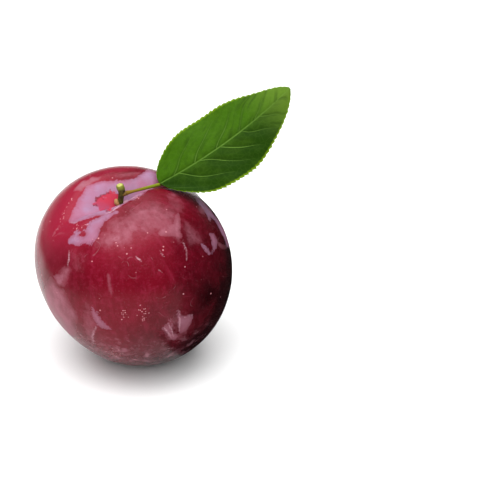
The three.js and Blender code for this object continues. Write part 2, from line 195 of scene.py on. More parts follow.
# Soft dusty films, partly painted sheen, the reflections of the softboxes and the white floor: how far the
# edge fades, how thick each is, and its outline
SOFT_FILMS_AND_SHEENS = {
    # A painted reflection of the overhead softbox, over dust; so are its brightest part, its wisp and its
    # tuft
    "haze on the front right shoulder": (5.0, 0.62, [
        (-4.0, 14.7), (-1.6, 17.0), (0.8, 17.8), (3.2, 18.7), (6.5, 18.9), (10.0, 17.6), (12.7, 17.0),
        (13.8, 14.7), (14.2, 12.1), (13.8, 9.9), (13.5, 8.4), (11.8, 8.7), (10.0, 9.1), (7.4, 9.0),
        (4.3, 7.8), (0.4, 6.8), (-4.0, 6.9), (-6.0, 8.6), (-5.4, 12.1)]),
    "its brightest part": (3.6, 0.95, [
        (2.3, 17.6), (5.2, 18.0), (5.8, 16.5), (4.7, 14.7), (2.1, 14.1), (-2.7, 13.2), (-3.8, 14.5),
        (-0.1, 15.6)]),
    "its right-hand wisp": (1.3, 0.7, [
        (12.2, 14.5), (14.0, 14.5), (14.2, 11.7), (14.0, 9.9), (14.2, 7.0), (13.2, 6.8), (12.4, 8.8),
        (12.0, 10.8), (12.0, 13.0)]),
    "pink beside the front patch": (3.6, 0.62, [
        (-8.6, 12.6), (-4.6, 14.6), (0.0, 13.6), (2.4, 10.0), (0.4, 6.4), (-3.4, 4.6), (-8.0, 4.4),
        (-11.0, 5.4)]),
    "its lower tuft": (0.9, 0.7, [(7.4, 10.8), (9.6, 11.7), (10.2, 10.3), (9.1, 8.4), (7.4, 8.8)]),
    "band by the hook": (2.2, 0.55, [
        (14.4, 13.4), (17.6, 12.2), (19.6, 9.6), (20.6, 7.5), (20.0, 6.0), (18.4, 6.7), (17.0, 5.2),
        (15.2, 7.5)]),
    "beside the right shoulder": (1.4, 0.5, [
        (19.2, 18.2), (20.7, 17.6), (22.0, 15.8), (21.6, 14.7), (19.6, 15.6)]),
    "right edge": (1.0, 0.5, [
        (25.1, 7.2), (27.3, 6.2), (28.4, 5.6), (28.2, 4.8), (26.6, 4.6), (25.4, 5.8)]),
    "left side": (2.8, 0.8, [
        (-24.5, -3.1), (-22.5, -6.7), (-20.9, -7.2), (-19.9, -9.8), (-18.6, -11.8), (-17.3, -13.7),
        (-16.8, -16.0), (-17.3, -19.1), (-16.5, -22.4), (-19.6, -21.1), (-22.5, -18.3), (-24.5, -15.2),
        (-26.1, -10.8), (-26.6, -7.7), (-25.8, -4.6)]),
    # A painted highlight
    "behind the hollow": (1.3, 0.32, [
        (-6.4, 26.8), (-2.0, 27.9), (2.6, 28.2), (3.4, 27.2), (-1.0, 26.3), (-5.4, 25.9)]),
    "above the left side": (2.2, 0.85, [
        (-22.8, -1.6), (-20.6, -0.4), (-18.9, -0.6), (-18.9, -2.6), (-19.6, -5.0), (-21.0, -6.9),
        (-23.4, -5.8)]),
    "faint veil on the left": (3.4, 0.25, [
        (-18.8, 6.0), (-16.0, 5.4), (-13.6, 2.2), (-14.0, -1.8), (-16.4, -3.0), (-18.6, -0.4),
        (-19.4, 3.0)]),
    "under the leaf's base": (2.6, 0.4, [
        (8.4, 21.4), (11.4, 22.4), (14.4, 21.2), (15.4, 16.4), (13.2, 14.8), (10.6, 18.4)]),
    "left of the slanting patch": (2.6, 0.42, [
        (-14.5, -10.8), (-12.4, -11.8), (-11.4, -16.0), (-10.4, -18.6), (-11.4, -21.1), (-11.9, -23.7),
        (-14.5, -21.1), (-15.5, -17.3), (-15.0, -13.4)]),
    "right of the front patch": (3.5, 0.5, [
        (-9.3, 10.3), (-4.2, 10.1), (-4.2, 4.7), (-6.7, 4.1), (-9.3, 4.7), (-11.9, 5.2), (-11.4, 7.5)]),
    "top left": (0.8, 0.9, [
        (-18.2, 22.0), (-16.4, 24.2), (-15.0, 25.5), (-13.6, 25.3), (-12.4, 26.6), (-11.0, 26.2),
        (-9.4, 26.8), (-10.0, 25.3), (-12.2, 24.8), (-13.0, 23.6), (-14.8, 23.2), (-15.4, 21.8),
        (-16.8, 22.4)]),
    "under the crease": (0.9, 0.4, [
        (-22.0, 10.1), (-19.9, 9.8), (-18.9, 8.5), (-20.7, 9.0), (-23.3, 8.8), (-24.3, 8.0)]),
    "smear below the middle": (0.8, 0.6, [
        (-8.0, -2.4), (-7.2, -2.6), (-6.6, -6.0), (-6.2, -8.8), (-7.0, -9.0), (-7.8, -5.6)]),
    "beige spot low down": (0.7, 0.75, [
        (-3.8, -24.8), (-2.4, -24.7), (-1.2, -25.6), (-2.6, -26.3), (-3.5, -25.9)]),
    "fleck low on the left": (0.7, 0.75, [(-11.9, -24.3), (-10.2, -25.0), (-9.9, -25.7), (-11.3, -25.7)]),
    "round the fan": (2.4, 0.25, [
        (12.5, -13.5), (14.8, -14.7), (18.2, -14.9), (17.3, -17.9), (16.4, -20.9), (13.0, -23.4),
        (9.5, -22.5), (7.9, -19.7), (10.2, -16.1)]),
    "low on the right": (2.5, 0.15, [
        (1.5, -23.4), (8.4, -23.4), (14.1, -22.7), (15.9, -23.9), (13.0, -26.6), (6.1, -28.4),
        (-0.8, -28.0), (-1.7, -25.7)]),
}
# Where the bare skin is brighter, as painted light, and where it is darker: how far the edge fades, how
# much, and the outline
BRIGHT_SPOTS = [
    (7.0, 0.42, [
        (-11.0, 12.0), (-4.0, 13.5), (4.0, 15.0), (11.0, 14.5), (14.0, 12.0), (13.0, 7.0), (7.0, 3.0),
        (-1.0, 0.5), (-9.0, -1.5), (-13.0, 0.0), (-13.0, 6.0)]),
    (2.0, 0.7, [
        (-12.0, 26.4), (-6.0, 27.4), (0.0, 28.2), (5.0, 29.4), (3.0, 31.0), (-4.0, 31.0), (-11.0, 29.0)]),
]
DARK_SPOTS = [
    (3.4, 0.42, [
        (-27.4, 9.0), (-24.0, 8.6), (-21.2, 9.4), (-18.6, 7.4), (-18.4, 3.2), (-19.0, -0.6), (-22.0, -0.6),
        (-25.4, -1.6), (-27.6, 2.4)]),
]
# Where the skin's pale dots crowd together: how far the crowd thins out, how thick it is, and its outline
FLECKS = [
    (0.8, 1.0, [
        (-3.5, -13.3), (-4.4, -14.5), (-3.9, -15.9), (-3.1, -16.8), (-2.0, -17.0), (-1.4, -15.8),
        (-1.7, -14.0)]),
    (0.8, 1.0, [
        (2.0, -12.1), (3.8, -12.6), (4.7, -14.5), (3.8, -15.8), (2.9, -17.3), (2.0, -17.9), (1.6, -16.9),
        (3.0, -15.0), (2.4, -13.2)]),
    (1.2, 1.0, [(-8.8, -25.8), (-3.5, -25.0), (-3.1, -27.5), (-5.8, -27.8), (-7.6, -26.6)]),
    (0.6, 0.9, [
        (-3.0, 17.9), (-1.8, 19.3), (0.8, 20.6), (2.8, 21.6), (3.2, 20.9), (1.2, 19.7), (-1.0, 18.4)]),
    (0.8, 0.5, [(-4.4, 15.8), (-2.6, 17.0), (-1.6, 16.8), (-2.2, 15.6), (-3.6, 14.8)]),
    (1.0, 0.6, [
        (-17.4, 20.3), (-18.5, 18.8), (-20.5, 16.1), (-21.4, 12.4), (-22.3, 12.4), (-21.0, 16.8),
        (-18.9, 20.0)]),
    (1.2, 0.5, [(-19.0, 11.8), (-14.0, 12.6), (-13.6, 11.6), (-16.0, 10.9), (-18.6, 10.4)]),
    (3.0, 0.07, [(-9.0, 9.6), (-4.5, 9.4), (0.5, 5.6), (-2.0, 3.4), (-8.0, 4.2)]),
]

# Marks of the same kinds on the sides that the camera doesn't see: their size across, how much of the skin
# they leave bare, how thickly they cover the rest, and for the soft ones how far the edge fades
UNSEEN_FADE = (-0.12, -0.42)  # how squarely the skin faces the camera where they start, and where all show
UNSEEN_PATCHES = {"size": 8.5, "bareness": 0.85, "cover": 0.85, "seed": 41}
UNSEEN_FILM = {"size": 7.0, "bareness": 0.0, "cover": 0.7, "fade": 1.2, "seed": 42}
UNSEEN_FLECKS = {"size": 5.0, "bareness": 1.0, "cover": 0.8, "fade": 0.5, "seed": 43}
BLOTCH_WARP = 0.35  # how far these blotches are pulled out of shape, as a share of their size
BLOTCH_DETAIL = 0.35  # how much waves a third as large add to them

# ---- How marks are laid on the skin ----
SIGHT_REACH = (-1.2, 0.6)  # where a line of sight is searched for skin, in fruit radii from the middle
SIGHT_STEPS = 1500
MAP_POLE = (0.3, 0.2, 1.0)  # any direction that no mark's middle has
MAP_REACH = 1.3  # radians from a mark's middle: past this the skin is never in it
LINE_FADE = (-0.6, 0.9)  # in half widths of the line

# ---- Stalk ----
STALK_RADIUS = 0.85
STALK_FOOT_RADIUS = 0.95
STALK_FOOT_REACH = 0.25
KNOB = {"radius": 1.15, "middle": 0.9, "reach": 0.1, "cut_radius": 0.85}
STALK_BURIED = 1.7
STALK_BEND = ((0.5, -0.15, 3.6), (0.95, -0.85, 6.9))
STALK_TOP = (0.5, -1.3, 9.3)
BUD = {"size": (0.75, 0.75, 1.2), "place": (-0.45, -0.6, 3.3), "tilt": math.radians(-22), "seed": 20}
LEAF_SCAR = {"size": (0.85, 0.75, 0.8), "place": (1.75, -0.8, 6.3), "tilt": 0.0, "seed": 21}
STALK_SIDES = 56
STALK_STEPS = 140
SPOT_CELLS = 14
SPOT_LUMPS = {"height": 0.06, "size": 0.9}  # both as shares of the spot's own size
CUT_ROUNDING = (0.975, 1.0)  # where the stalk rounds over into its cut end, as shares of its length
CUT_RINGS = 2
BARK_HEIGHT = 0.045
BARK_LUMPS = ((0.5, 1.0, 11), (0.22, 0.6, 12))  # size in stalk radii, share of the height, seed
BARK_STRETCH = 3.0  # draws the bark's unevenness out along the stalk

# ---- Leaf: as in the part's source ----
BLADE_BASE = np.array((6.1, 0.1, 55.95))
BLADE_YAW = math.radians(24)
BLADE_RISE = math.radians(29)
BLADE_ROLL = math.radians(38.4)
BLADE_LENGTH = 47.0
BLADE_HALF_WIDTH = 11.2
BLADE_NECK = 0.5
BLADE_BELLY = 0.77
BLADE_FULLNESS = 0.68
BLADE_SIDE_BOW = 2.6
BLADE_ARCH = 2.1
BLADE_ROOF = 1.2
ROOF_ROUNDING = 1.3
BLADE_WAVE = {"height": 0.9, "waves": 2.5}
BASE_CURL = {"height": 3.3, "middle": 0.09, "reach": 0.14}
TEETH = 32
TOOTH_DEPTH = 0.5
TOOTH_LEAN = 0.7
TOOTH_FADE = 0.4

# ---- Leaf: finer than in the part's source ----
BLADE_THICKNESS = 0.36  # nearer a real leaf's than the solid's is
MARGIN_THINNING = {"share": 0.55, "power": 6}
BLADE_ROWS_PER_TOOTH = 16
BLADE_COLUMNS = 64
COLUMN_CROWDING = 0.6  # crowds the columns to the midrib and the margins: 0 spaces them evenly
SMALL_TEETH = 0.4  # the depth of the small teeth between the others, as a share of theirs
TOOTH_CLIMB = 1.3  # above 1 a tooth climbs slowly at first
TOOTH_ROOT = 10  # the teeth are in the outermost part of the blade: higher is nearer the margin
TOOTH_UNEVENNESS = {"share": 0.3, "beats": (5.0, 2.3)}
SIDE_VEINS = 6.4  # between the base and the tip, on each side
SIDE_VEIN_ANGLE = math.radians(42)
SIDE_VEIN_CURVE = 0.045
SIDE_VEIN_WANDER = {"share": 0.07, "size": 5.0, "seed": 35}  # the share is of the gap between two veins
SIDE_VEIN_OFFSET = {"upper": 0.42, "lower": 0.23}  # the two sides' veins don't meet
SIDE_VEIN_GAP = BLADE_LENGTH / SIDE_VEINS * math.sin(SIDE_VEIN_ANGLE)
# How far each kind of relief raises the upper face, and how far it thickens the blade on the lower one
RELIEF = {"vein": (-0.10, 0.13), "rib": (-0.22, 0.45), "puff": (0.2, -0.2), "grain": (0.02, -0.02)}
RELIEF_MARGIN = (0.6, 0.98)  # where veins and puffs fade out, from the midrib at 0 to the margin at 1
VEIN_WIDTH = 0.22
PUFF_RISE = {"from vein": 2.4, "from rib": 2.0}  # how far away the puffs are at their highest
RIB = {"width": 0.42, "fades": 0.7}  # it fades by this share from the base to the tip
GRAIN = {"size": 1.3, "seed": 31}

# ---- Leaf: its own stalk, thinner than in the part's source ----
LEAF_STALK_START = (2.2, -0.6, 6.3)  # from the stalk's foot, as the next one is
LEAF_STALK_SAG = (6.4, 1.9, 6.35)
LEAF_STALK_UNDER = (0.0, 0.05, 0.12, 0.2)  # the places along the blade that it runs in under
LEAF_STALK_DROP = 0.6  # below the middle of the blade there
LEAF_STALK_RADIUS = {"start": 0.42, "blade": 0.5}
LEAF_STALK_THICKENS = (0.0, 0.5)  # this, and where it thins, are shares of its length
LEAF_STALK_THINS = {"share": 0.6, "along": (0.6, 1.0)}
LEAF_STALK_FOOT = {"swell": 0.25, "reach": 0.06}
LEAF_STALK_SIDES = 20
LEAF_STALK_STEPS = 90

# ---- Curves and waves ----
PATH_SAMPLES = 40  # between two points of a smooth path
RIPPLE_WAVES = 24
RIPPLE_SPREAD = (0.6, 1.4)  # the waves' pitches, as shares of the one asked for


# ---- Numbers and directions ----

def bump(x, middle, reach):
    return np.exp(-(((x - middle) / reach) ** 2))


def smooth_step(x, low, high):
    share = np.clip((x - low) / (high - low), 0, 1)
    return share * share * (3 - 2 * share)


def unit(vectors):
    return vectors / np.linalg.norm(vectors, axis=-1, keepdims=True)


def turn(axis, angle):
    """The matrix that turns a column vector about X, Y or Z."""
    first, second = [(1, 2), (2, 0), (0, 1)]["XYZ".index(axis)]
    matrix = np.eye(3)
    matrix[first, first] = matrix[second, second] = math.cos(angle)
    matrix[second, first] = math.sin(angle)
    matrix[first, second] = -math.sin(angle)
    return matrix


def ripple(points, size, seed):
    """Smooth random waves through space, mostly from -1 to 1, with bumps this many millimetres across."""
    random = np.random.default_rng(seed)
    directions = unit(random.normal(size=(RIPPLE_WAVES, points.shape[1])))
    pitch = random.uniform(*RIPPLE_SPREAD, RIPPLE_WAVES) * math.pi / size
    phase = random.uniform(0, 2 * math.pi, RIPPLE_WAVES)
    return np.sin(points @ (directions * pitch[:, None]).T + phase).sum(1) / math.sqrt(RIPPLE_WAVES)


# ---- Meshes ----

def make_piece(name, points, faces, attributes, material):
    """A smooth mesh. Each attribute gives every point a number, or three, for its material to read."""
    mesh = bpy.data.meshes.new(name)
    mesh.from_pydata((points * MM).tolist(), [], faces)
    mesh.shade_smooth()
    for attribute, values in attributes.items():
        values = np.asarray(values, np.float32)
        kind, field = ("FLOAT", "value") if values.ndim == 1 else ("FLOAT_VECTOR", "vector")
        mesh.attributes.new(attribute, kind, "POINT").data.foreach_set(field, values.ravel())
    mesh.materials.append(material)
    piece = bpy.data.objects.new(name, mesh)
    bpy.context.scene.collection.objects.link(piece)
    return piece


def grid_faces(number):
    """The quads of a grid of point numbers. The same grid with its rows turned round faces the other way."""
    corners = [number[:-1, :-1], number[1:, :-1], number[1:, 1:], number[:-1, 1:]]
    return np.stack(corners, axis=-1).reshape(-1, 4)


def ball(cells):
    """Directions all over a ball, and the quads between them: a cube's six gridded faces, puffed out."""
    steps = np.tan(np.linspace(-math.pi / 4, math.pi / 4, cells + 1))
    across, up = np.meshgrid(steps, steps, indexing="ij")
    sides = np.empty((6, cells + 1, cells + 1, 3))
    for number, (axis, facing) in enumerate([(axis, facing) for axis in range(3) for facing in (1, -1)]):
        sides[number, ..., axis] = facing
        sides[number, ..., (axis + 1) % 3] = facing * across
        sides[number, ..., (axis + 2) % 3] = up
    rounded_off = np.round(unit(sides.reshape(-1, 3)), 6) + 0.0
    points, shared = np.unique(rounded_off, axis=0, return_inverse=True)
    quads = [grid_faces(side) for side in shared.reshape(6, cells + 1, cells + 1)]
    return unit(points), np.concatenate(quads)


def smooth_path(points, count):
    """Evenly spaced points along a Catmull-Rom curve through the given ones."""
    points = np.asarray(points, float)
    ends = np.concatenate([[2 * points[0] - points[1]], points, [2 * points[-1] - points[-2]]])
    t = np.linspace(0, 1, PATH_SAMPLES, endpoint=False)[:, None]
    dense = []
    for a, b, c, d in zip(ends[:-3], ends[1:-2], ends[2:-1], ends[3:]):
        curved = (2 * a - 5 * b + 4 * c - d) * t**2 + (3 * b - a - 3 * c + d) * t**3
        dense.append(0.5 * (2 * b + (c - a) * t + curved))
    dense = np.concatenate([*dense, points[-1:]])
    gone = np.concatenate([[0], np.cumsum(np.linalg.norm(np.diff(dense, axis=0), axis=1))])
    even = np.linspace(0, gone[-1], count)
    return np.stack([np.interp(even, gone, dense[:, i]) for i in range(3)], axis=-1)


def rod(path, radii, sides):
    """A closed rod along a path. radii holds the distance from the path at each step and round each side."""
    ahead = unit(np.gradient(path, axis=0))
    across = unit(np.cross(ahead[0], (0, 1, 0)))
    angles = np.arange(sides) * 2 * math.pi / sides
    rings = []
    for middle, forward, reach in zip(path, ahead, radii):
        across = unit(across - (across @ forward) * forward)
        other = np.cross(forward, across)
        out = np.cos(angles)[:, None] * across + np.sin(angles)[:, None] * other
        rings.append(middle + out * reach[:, None])
    points = np.concatenate([*rings, path[:1], path[-1:]])
    number = np.arange(len(path) * sides).reshape(len(path), sides)
    number = np.concatenate([number, number[:, :1]], axis=1)
    foot, top = len(path) * sides, len(path) * sides + 1
    caps = [(foot, b, a) for a, b in zip(number[0, :-1], number[0, 1:])]
    caps += [(top, a, b) for a, b in zip(number[-1, :-1], number[-1, 1:])]
    return points, grid_faces(number.T).tolist() + caps


# ---- Fruit ----

fruit_lean = turn("X", LEAN_TO_FRONT) @ turn("Y", -LEAN_TO_LEFT)


def hollow_depth(arc, azimuth):
    along = arc * np.cos(azimuth - HOLLOW_AZIMUTH)
    bend = HOLLOW_BEND * (np.hypot(along, HOLLOW_BEND_ROUNDING) - HOLLOW_BEND_ROUNDING)
    across = arc * np.sin(azimuth - HOLLOW_AZIMUTH) - bend
    reach_along = np.where(along < 0, HOLLOW_REACH["left"], HOLLOW_REACH["right"])
    reach_across = np.where(across < 0, HOLLOW_REACH["front"], HOLLOW_REACH["back"])
    return HOLLOW_DEPTH * bump(along, 0, reach_along) * bump(across, 0, reach_across)


def crease_depth(crease, polar, arc, azimuth):
    middle_line = crease["azimuth"] + crease["swing"] * bump(arc, 0, SWING_REACH)
    away = np.arctan2(np.sin(azimuth - middle_line), np.cos(azimuth - middle_line))
    across = FRUIT_RADIUS * np.sin(polar) * away
    along = CREASE_ALL_THE_WAY * np.sin(polar) + bump(arc, CREASE_MIDDLE, crease["reach"])
    return crease["depth"] * along * bump(across, 0, CREASE_WIDTH) * np.cos(away / 2) ** 2


def fruit_reach(directions):
    """Distance from the fruit's centre to its skin, in each direction of the fruit's own frame."""
    polar = np.arccos(np.clip(directions[:, 2], -1, 1))
    azimuth = np.arctan2(directions[:, 1], directions[:, 0])
    arc = FRUIT_RADIUS * polar
    waist = np.sin(polar)
    return (
        FRUIT_RADIUS
        - END_FLATTENING * np.cos(3 * polar)
        - CHEEK_SWELL * np.cos(2 * (azimuth - SUTURE_AZIMUTH)) * waist**2
        + SHOULDER_SKEW * np.cos(azimuth - SHOULDER_SKEW_AZIMUTH) * np.sin(2 * polar)
        + THREE_LOBED * np.cos(3 * azimuth) * waist**3
        - hollow_depth(arc, azimuth)
        - crease_depth(SUTURE, polar, arc, azimuth)
        - crease_depth(BACK_CREASE, polar, arc, azimuth)
        - APEX_DIMPLE_DEPTH * bump(math.pi - polar, 0, APEX_DIMPLE_SPREAD)
    )


def on_fruit(points):
    """Points in the fruit's own frame, its stalk end up, taken to where they lie on the leaning fruit."""
    return points @ fruit_lean.T + FRUIT_CENTRE


stalk_axis = fruit_lean @ (0, 0, 1)
stalk_foot = on_fruit(np.array((0, 0, fruit_reach(np.array([(0.0, 0.0, 1.0)]))[0])))


# ---- Where a mark seen from the camera lies on the skin ----

camera_right = np.array((1.0, 0.0, 0.0))
camera_up = np.array((0.0, math.sin(CAMERA_ELEVATION), math.cos(CAMERA_ELEVATION)))
towards_camera = np.array((0.0, -math.cos(CAMERA_ELEVATION), math.sin(CAMERA_ELEVATION)))
camera_place = CAMERA_AIM + CAMERA_DISTANCE * towards_camera


def skin_seen_at(mark_point):
    """The direction, in the fruit's own frame, of the first skin on the line of sight to a point in view."""
    right, up = np.add(mark_point, FRUIT_MIDDLE_IN_VIEW)
    sight = unit(CAMERA_AIM + camera_right * right + camera_up * up - camera_place)
    to_middle = (FRUIT_CENTRE - camera_place) @ sight
    along = to_middle + FRUIT_RADIUS * np.linspace(*SIGHT_REACH, SIGHT_STEPS)
    points = (camera_place + along[:, None] * sight - FRUIT_CENTRE) @ fruit_lean
    directions = unit(points)
    gap = np.linalg.norm(points, axis=1) - fruit_reach(directions)
    inside = np.flatnonzero(gap <= 0)
    first = inside[0] if len(inside) else np.argmin(gap)
    return directions[first]


def skin_map(outline):
    """The middle of an outline on the skin, and the two directions that a flat map about it runs in."""
    middle = unit(outline.mean(0))
    east = unit(np.cross(MAP_POLE, middle))
    return middle, np.stack([east, np.cross(middle, east)])


def on_map(directions, middle, axes):
    """Where directions lie on that map, in millimetres of skin."""
    angle = np.arccos(np.clip(directions @ middle, -1, 1))
    flat = directions @ axes.T
    return flat * (FRUIT_RADIUS * angle / np.maximum(np.linalg.norm(flat, axis=1), 1e-9))[:, None]


def rounded(outline):
    """A closed outline with its corners cut, and cut again."""
    for _ in range(2):
        ahead = np.roll(outline, -1, axis=0)
        cuts = [0.75 * outline + 0.25 * ahead, 0.25 * outline + 0.75 * ahead]
        outline = np.stack(cuts, axis=1).reshape(-1, 2)
    return outline


def distance_to(points, path, closed):
    """Distance of each point from a path, how far along it that is, and whether the point lies inside it."""
    nearest = np.full(len(points), np.inf)
    along = np.zeros(len(points))
    inside = np.zeros(len(points), bool)
    ends = np.roll(path, -1, axis=0) if closed else path[1:]
    for number, (start, end) in enumerate(zip(path, ends)):
        edge = end - start
        share = np.clip((points - start) @ edge / max(edge @ edge, 1e-12), 0, 1)
        distance = np.linalg.norm(points - start - share[:, None] * edge, axis=1)
        along = np.where(distance < nearest, (number + share) / len(ends), along)
        nearest = np.minimum(nearest, distance)
        if closed and edge[1] != 0:
            level = (start[1] > points[:, 1]) != (end[1] > points[:, 1])
            inside ^= level & (points[:, 0] < start[0] + (points[:, 1] - start[1]) * edge[0] / edge[1])
    return nearest, along, inside


def mark_depth(directions, mark, width=None):
    """How far inside a mark each direction lies, in millimetres. A mark with a width is a tapering line."""
    seen = np.array([skin_seen_at(point) for point in mark])
    middle, axes = skin_map(seen)
    path = on_map(seen, middle, axes)
    near = directions @ middle > math.cos(MAP_REACH)
    points = on_map(directions[near], middle, axes)
    depth = np.full(len(directions), -FRUIT_RADIUS)
    if width is None:
        nearest, _, inside = distance_to(points, rounded(path), closed=True)
        depth[near] = np.where(inside, nearest, -nearest)
    else:
        nearest, along, _ = distance_to(points, path, closed=False)
        depth[near] = width / 2 * np.sqrt(1 - (2 * along - 1) ** 2) - nearest
    return depth


def soft_marks(directions, marks):
    """How thickly each direction is covered by marks that fade at their edges."""
    cover = np.zeros(len(directions))
    for fade, thickness, outline in marks:
        depth = mark_depth(directions, outline)
        cover = np.maximum(cover, thickness * smooth_step(depth, -fade / 2, fade))
    return cover


def bloom_patches(directions):
    """How deep in crisp-edged bloom each direction lies, in millimetres, and how thick the bloom is."""
    bloom = np.full(len(directions), -FRUIT_RADIUS)
    cover = np.zeros(len(directions))
    weights = np.full(len(directions), 1e-9)
    for thickness, outline in BLOOM_PATCHES.values():
        depth = mark_depth(directions, outline)
        bloom = np.maximum(bloom, depth)
        weight = np.exp(np.maximum(depth, -20))  # the nearest patch's cover counts most
        cover += thickness * weight
        weights += weight
    bloom = np.minimum(bloom, -mark_depth(directions, BARE_POCKET))
    for width, line in BARE_LINES:
        bloom = np.minimum(bloom, -mark_depth(directions, line, width))
    return bloom, cover / weights


def bloom_lines(directions):
    lines = np.zeros(len(directions))
    for width, strength, line in BLOOM_LINES:
        from_edge = mark_depth(directions, line, width) / (width / 2)
        lines = np.maximum(lines, strength * smooth_step(from_edge, *LINE_FADE))
    return lines


def blotches(directions, kind):
    """Random blotches all over: above 0 inside them, and about 1 more for each patch radius further in."""
    size, seed = kind["size"], kind["seed"]
    points = directions * FRUIT_RADIUS
    pull = [ripple(points, size / 2, seed + 10 * axis) for axis in (1, 2, 3)]
    points = points + BLOTCH_WARP * size * np.stack(pull, axis=-1)
    detail = BLOTCH_DETAIL * ripple(points, size / 3, seed + 50)
    return ripple(points, size, seed) + detail - kind["bareness"]


def soft_blotches(directions, kind):
    return kind["cover"] * smooth_step(blotches(directions, kind), 0, kind["fade"])


def skin_marks(directions):
    """The attributes that the skin's material reads, at each direction."""
    facing = (directions @ fruit_lean.T) @ towards_camera
    unseen = smooth_step(facing, *UNSEEN_FADE)
    bloom, cover = bloom_patches(directions)
    more_bloom = blotches(directions, UNSEEN_PATCHES) * UNSEEN_PATCHES["size"] / 2
    more_bloom = more_bloom - FRUIT_RADIUS * (1 - unseen)
    film_and_sheen = soft_marks(directions, SOFT_FILMS_AND_SHEENS.values())
    flecks = soft_marks(directions, FLECKS)
    return {
        "bloom": np.maximum(bloom, more_bloom),
        "bloom_cover": np.where(more_bloom > bloom, UNSEEN_PATCHES["cover"], cover),
        "bloom_lines": bloom_lines(directions),
        "film_and_sheen": np.maximum(film_and_sheen, unseen * soft_blotches(directions, UNSEEN_FILM)),
        "flecks": np.maximum(flecks, unseen * soft_blotches(directions, UNSEEN_FLECKS)),
        "rubbed": mark_depth(directions, RUBBED_SPOT),
        "dusted": soft_marks(directions, [DUSTED_AGAIN]),
    }


def make_fruit(material):
    directions, faces = ball(FRUIT_CELLS)
    polar = np.arccos(np.clip(directions[:, 2], -1, 1))
    collar = bump(FRUIT_RADIUS * polar, STALK_COLLAR["middle"], STALK_COLLAR["reach"])
    reach = fruit_reach(directions) - STALK_COLLAR["depth"] * collar
    for seed, (size, height) in enumerate(SKIN_WAVES):
        reach = reach + height * (ripple(directions * FRUIT_RADIUS, size, seed) - 1)
    points = on_fruit(directions * reach[:, None])
    points[:, 2] = np.maximum(points[:, 2], 0)  # the flat spot that it rests on

    out = directions @ fruit_lean.T
    attributes = skin_marks(directions)
    # The shade is partly painted shade, and the bright side partly painted light
    dark_cheek = smooth_step(out @ DARK_CHEEK["towards"], *DARK_CHEEK["fade"])
    attributes["shade"] = np.maximum(dark_cheek, soft_marks(directions, DARK_SPOTS))
    blush_and_light = smooth_step(out @ BLUSH_AND_LIGHT["towards"], *BLUSH_AND_LIGHT["fade"])
    attributes["blush_and_light"] = np.maximum(blush_and_light, soft_marks(directions, BRIGHT_SPOTS))
    attributes["underside"] = smooth_step(-out[:, 2], *UNDERSIDE_FADE)
    around = unit(directions[:, :2] + 1e-9) * MERIDIAN_STREAKS
    attributes["meridian"] = np.column_stack([around, FRUIT_RADIUS * polar * STREAK_STRETCH])
    fruit = make_piece("plum_fruit", points, faces.tolist(), attributes, material)
    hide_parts("fruit")
    return fruit


# ---- Stalk ----

def stalk_radius(along):
    foot = (STALK_FOOT_RADIUS - STALK_RADIUS) * bump(along, 0, STALK_FOOT_REACH)
    knob = (KNOB["radius"] - STALK_RADIUS) * bump(along, KNOB["middle"], KNOB["reach"])
    rim = KNOB["radius"] - KNOB["cut_radius"]
    return STALK_RADIUS + foot + knob - rim * smooth_step(along, *CUT_ROUNDING)


def bark_height(along):
    """The bark's unevenness at each step along the stalk and round each of its sides."""
    angle = np.arange(STALK_SIDES) * 2 * math.pi / STALK_SIDES
    places = np.broadcast_arrays(np.cos(angle), np.sin(angle), along * BARK_STRETCH)
    places = np.stack(places, axis=-1).reshape(-1, 3)
    lumps = sum(share * ripple(places, size, seed) for size, share, seed in BARK_LUMPS)
    return BARK_HEIGHT * lumps.reshape(STALK_STEPS, STALK_SIDES) * (1 - smooth_step(along, *CUT_ROUNDING))


def swollen_spot(spot):
    """A rounded swelling on the stalk, with its own slight lumps."""
    directions, faces = ball(SPOT_CELLS)
    lumps = 1 + SPOT_LUMPS["height"] * ripple(directions, SPOT_LUMPS["size"], spot["seed"])[:, None]
    points = (directions * lumps * spot["size"]) @ turn("Y", spot["tilt"]).T
    return points + stalk_foot + spot["place"], faces


def make_stalk(material):
    through = [stalk_foot - STALK_BURIED * stalk_axis, stalk_foot]
    through += [stalk_foot + np.array(offset) for offset in (*STALK_BEND, STALK_TOP)]
    path = smooth_path(through, STALK_STEPS)
    along = np.linspace(0, 1, STALK_STEPS)[:, None]
    points, faces = rod(path, stalk_radius(along) + bark_height(along), STALK_SIDES)

    is_cut = np.arange(STALK_STEPS) >= STALK_STEPS - CUT_RINGS
    attributes = {
        "height": np.concatenate([np.repeat(along, STALK_SIDES), [0.0, 1.0]]),
        "cut_end": np.concatenate([np.repeat(is_cut, STALK_SIDES), [0.0, 1.0]]),
        "bud": np.zeros(len(points)),
        "leaf_scar": np.zeros(len(points)),
    }
    for kind, spot in (("bud", BUD), ("leaf_scar", LEAF_SCAR)):
        more, quads = swollen_spot(spot)
        faces = faces + (quads + len(points)).tolist()
        points = np.concatenate([points, more])
        for name, values in attributes.items():
            attributes[name] = np.concatenate([values, np.full(len(more), float(name == kind))])
    stalk = make_piece("plum_stalk", points, faces, attributes, material)
    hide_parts("stem")
    return stalk


# ---- Leaf: made in its own frame, +X from base to tip, +Z out of its upper face ----

leaf_turn = turn("Z", BLADE_YAW) @ turn("Y", -BLADE_RISE) @ turn("X", BLADE_ROLL)


def blade_half_width(along):
    outline = np.maximum(0, np.sin(math.pi * along**BLADE_BELLY)) ** BLADE_FULLNESS
    return np.maximum(BLADE_NECK, BLADE_HALF_WIDTH * outline)


